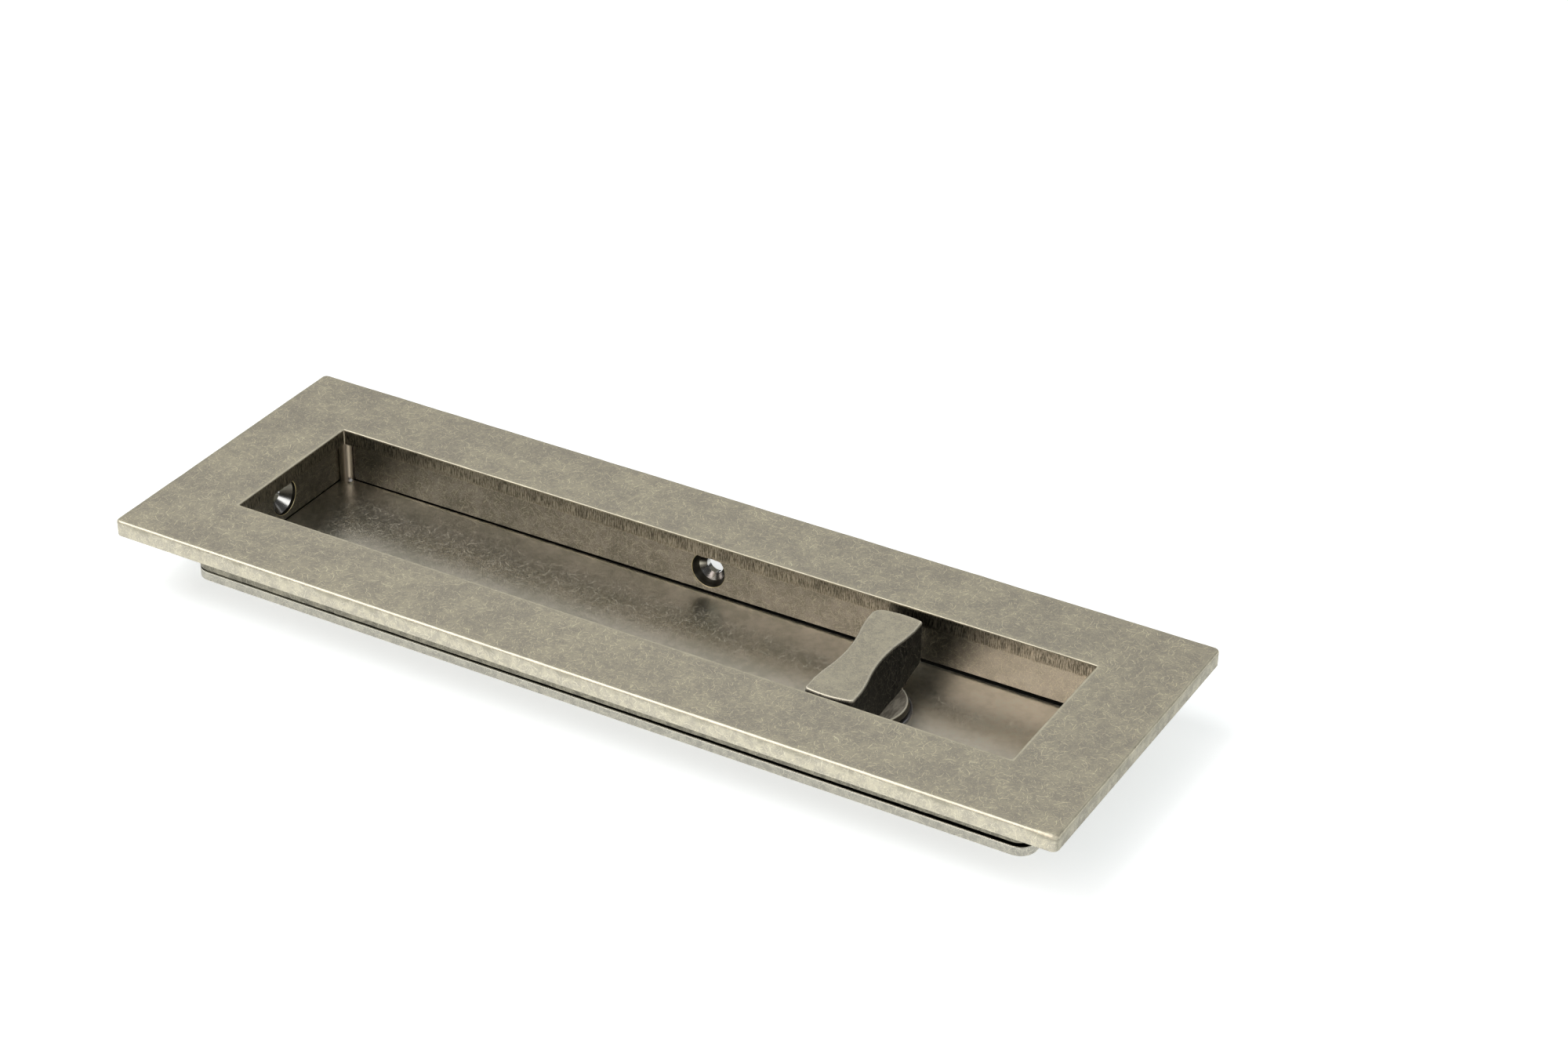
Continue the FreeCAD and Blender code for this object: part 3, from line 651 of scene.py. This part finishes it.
def mesh_object(name, bm, materials):
    """Turns a bmesh into an object of the scene and frees it."""
    mesh = bpy.data.meshes.new(name)
    bm.to_mesh(mesh)
    bm.free()
    for material in materials:
        mesh.materials.append(material)
    obj = bpy.data.objects.new(name, mesh)
    bpy.context.scene.collection.objects.link(obj)
    return obj


def band(bm, loop, following, slot):
    """A closed band of faces between two loops with as many points."""
    count = len(loop)
    for k in range(count):
        n = (k + 1) % count
        face = bm.faces.new((loop[k], loop[n], following[n], following[k]))
        face.material_index = slot
        face.smooth = True


def build_frame(materials):
    """The face frame before its holes are cut: bands between the rings, and from the last to the first."""
    rings = frame_rings()
    bm = bmesh.new()
    loops = [[bm.verts.new([c * MM for c in p]) for p in points] for points, _ in rings]
    for index, loop in enumerate(loops):
        following = (index + 1) % len(loops)
        band(bm, loop, loops[following], rings[following][1])
    bmesh.ops.recalc_face_normals(bm, faces=bm.faces)
    return mesh_object("face_frame_worn", bm, materials)


def turned_cutter(name, profile, place, axis, materials, steps):
    """A solid of revolution. profile has (distance along the axis, radius, slot of the next band)."""
    bm = bmesh.new()
    turn = Vector((0, 0, 1)).rotation_difference(Vector(axis)).to_matrix()
    angles = [math.tau * k / steps for k in range(steps)]
    loops = []
    for along, radius, _ in profile:
        points = [Vector((radius * math.cos(a), radius * math.sin(a), along)) for a in angles]
        loops.append([bm.verts.new((turn @ p + Vector(place)) * MM) for p in points])
    for (_, _, slot), loop, following in zip(profile, loops, loops[1:]):
        band(bm, loop, following, slot)
    bm.faces.new(loops[0]).material_index = profile[0][2]
    bm.faces.new(loops[-1]).material_index = profile[-1][2]
    bmesh.ops.recalc_face_normals(bm, faces=bm.faces)
    return mesh_object(name, bm, materials)


# edges sharper than this are kept sharp in the shading
SHARP_ANGLE = math.radians(35)


def cut(target, cutters):
    """Takes the cutters away from the target's mesh and deletes them."""
    for cutter in cutters:
        modifier = target.modifiers.new(cutter.name, "BOOLEAN")
        modifier.operation = "DIFFERENCE"
        modifier.solver = "EXACT"
        modifier.object = cutter
    graph = bpy.context.evaluated_depsgraph_get()
    mesh = bpy.data.meshes.new_from_object(target.evaluated_get(graph))
    target.modifiers.clear()
    mesh.set_sharp_from_angle(angle=SHARP_ANGLE)
    target.data = mesh
    for cutter in cutters:
        bpy.data.objects.remove(cutter)


def frame_cutters(materials):
    """Cutters for the four countersunk fixing holes and the four reliefs round the pillars."""
    cutters = []
    neck = SINK_DEEP + SINK_RADIUS - HOLE_RADIUS
    mouth = [(-MOUTH_WEAR, SINK_RADIUS + 2 * MOUTH_WEAR, RIM), (MOUTH_WEAR, SINK_RADIUS, DARK)]
    bore = [(neck, HOLE_RADIUS, BARE), (HOLE_REACH, HOLE_RADIUS, BARE)]
    straight_sink = [(SINK_DEEP, SINK_RADIUS, BARE)]
    steep_sink = [(SINK_DEEP, SINK_RADIUS - BAND_STEP, DARK),
                  (SINK_DEEP + BAND_REACH, SINK_RADIUS - BAND_REACH, BARE)]
    end_profile = mouth + straight_sink + bore
    side_profile = mouth + steep_sink + bore
    for sign in (-1, 1):
        end = (sign * CAVITY_X, 0, HOLE_LEVEL)
        side = (0, sign * CAVITY_Y, HOLE_LEVEL)
        cutters += [turned_cutter("hole_cutter", end_profile, end, (sign, 0, 0), materials, HOLE_STEPS),
                    turned_cutter("hole_cutter", side_profile, side, (0, sign, 0), materials, HOLE_STEPS)]
    relief = [(FLOOR - RELIEF_BELOW, RELIEF_RADIUS, WALL), (UNDER + RELIEF_ABOVE, RELIEF_RADIUS, WALL)]
    for sign_x in (-1, 1):
        for sign_y in (-1, 1):
            place = (sign_x * PILLAR_X, sign_y * PILLAR_Y, 0.0)
            cutter = turned_cutter("relief_cutter", relief, place, (0, 0, 1), materials, RELIEF_STEPS)
            cutters.append(cutter)
    return cutters


def paint(node, material):
    """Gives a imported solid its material."""
    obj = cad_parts[node]
    for slot in obj.material_slots:
        slot.material = material


def camera():
    """Camera fitted to the photograph: its place in metres and the directions of its picture's axes."""
    data = bpy.data.cameras.new("photo_camera")
    data.sensor_width = 36.0
    data.lens = 81.768
    obj = bpy.data.objects.new("photo_camera", data)
    right = Vector((0.86814, 0.49611, 0.01469))
    down = Vector((0.26682, -0.44154, -0.85665))
    forward = Vector((-0.41851, 0.74761, -0.51569))
    place = Vector((0.36968, -0.59893, 0.45866))
    turn = Matrix((right, -down, -forward)).transposed().to_4x4()
    obj.matrix_world = Matrix.Translation(place) @ turn
    bpy.context.scene.collection.objects.link(obj)
    bpy.context.scene.camera = obj


# studio
WHITE = (1.0, 1.0, 1.0)
WARM = (1.0, 0.90, 0.87)
WORLD_LIGHT = 0.07

# half the size of the sheet of paper in metres, its distance below the pull in millimetres, its own light
PAPER_HALF = 3.0
PAPER_DROP = 0.02
PAPER_GLOW = 0.62

# azimuth and elevation in degrees; distance, width and height in metres; radiance; colour
SOFTBOXES = {
    "overhead": (0, 88, 1.6, 1.8, 1.8, 0.45, WHITE),
    "left": (-78, 57, 3.2, 2.7, 2.1, 2.55, WHITE),
    "front": (-12, 43, 1.7, 0.75, 0.8, 2.6, WARM),
    "right": (74, 40, 1.6, 0.6, 1.1, 1.9, WHITE),
    "back": (186, 34, 1.9, 2.4, 0.9, 0.46, WHITE),
}


def softbox(name, azimuth, elevation, distance, width, height, radiance, colour):
    """An area light that looks at the object. Azimuth 0 stands in front, at -Y, and grows to the right."""
    a, e = math.radians(azimuth), math.radians(elevation)
    place = Vector((math.sin(a) * math.cos(e), -math.cos(a) * math.cos(e), math.sin(e))) * distance
    data = bpy.data.lights.new(name, "AREA")
    data.shape = "RECTANGLE"
    data.size = width
    data.size_y = height
    data.energy = radiance * math.pi * width * height
    data.color = colour
    obj = bpy.data.objects.new(name, data)
    obj.location = place
    obj.rotation_euler = (-place).to_track_quat("-Z", "Y").to_euler()
    bpy.context.scene.collection.objects.link(obj)


# drop of lacquer at the foot of the back left pillar; its height is a share of its width
BEAD_RADIUS = 0.55
BEAD_HEIGHT = 0.85
BEAD_PLACE = (-104.15, 23.3, FLOOR + BEAD_RADIUS)


def bead(material):
    """The drop of lacquer, a little flattened."""
    bm = bmesh.new()
    shape = Matrix.Translation(Vector(BEAD_PLACE) * MM) @ Matrix.Diagonal((1.0, 1.0, BEAD_HEIGHT, 1.0))
    bmesh.ops.create_uvsphere(bm, u_segments=24, v_segments=12, radius=BEAD_RADIUS * MM, matrix=shape)
    for face in bm.faces:
        face.smooth = True
    return mesh_object("lacquer_bead", bm, [material])


def studio():
    """Weak even light, the softboxes and the white paper that the pull lies on."""
    world = bpy.data.worlds.new("studio")
    world.use_nodes = True
    world.node_tree.nodes["Background"].inputs["Color"].default_value = (*WHITE, 1.0)
    world.node_tree.nodes["Background"].inputs["Strength"].default_value = WORLD_LIGHT
    bpy.context.scene.world = world
    bpy.context.scene.view_settings.view_transform = "Standard"
    for name, settings in SOFTBOXES.items():
        softbox(name, *settings)

    paper = bpy.data.materials.new("paper")
    paper.use_nodes = True
    shader = paper.node_tree.nodes["Principled BSDF"]
    shader.inputs["Base Color"].default_value = (0.87, 0.90, 0.90, 1.0)
    shader.inputs["Roughness"].default_value = 0.9
    shader.inputs["Emission Color"].default_value = (0.98, 1.0, 1.0, 1.0)
    shader.inputs["Emission Strength"].default_value = PAPER_GLOW
    bm = bmesh.new()
    bmesh.ops.create_grid(bm, x_segments=1, y_segments=1, size=PAPER_HALF)
    floor = mesh_object("floor", bm, [paper])
    floor.location.z = -PAPER_DROP * MM


camera()
studio()

face = face_metal()
lip = lip_metal()
wall = wall_metal()
bare = bare_metal()
dark = plain_metal("dark_metal", level=0.07, yellow=0.8, rough=0.4, marks=(0.8, 0.8, 0.8), pale_edges=False)
rim = plain_metal("rim_metal", level=0.75, yellow=1.8, rough=0.35, marks=(1.5, 1.5, 1.5), pink=0.04,
                  pale_edges=False, metallic=0.5)

# in the order of FACE, LIP, WALL, BARE, DARK and RIM
slots = [face, lip, wall, bare, dark, rim]
worn_frame = build_frame(slots)
cut(worn_frame, frame_cutters(slots))
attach(worn_frame, "pull")
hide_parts("face_frame")

lacquer = plain_metal("lacquer", level=0.85, yellow=0.0, rough=0.3, marks=(1.0, 1.0, 1.0),
                      pale_edges=False, metallic=0.0)
drop = bead(lacquer)
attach(drop, "pull")

paint("base_plate", base_metal())
paint("thumbturn", lever_metal())
burnished = plain_metal("burnished_metal", level=0.45, yellow=-0.3, rough=0.3, marks=(3.0, 3.0, 3.0))
paint("turn_bush", burnished)
pillar = pillar_metal()
steel = plain_metal("steel", level=0.45, yellow=0.1, rough=0.35, marks=(1.0, 1.0, 1.0))
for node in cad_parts:
    if node.startswith("pillar"):
        paint(node, pillar)
    elif node.startswith("base_screw") or node in ("retaining_ring", "dished_spring"):
        paint(node, steel)
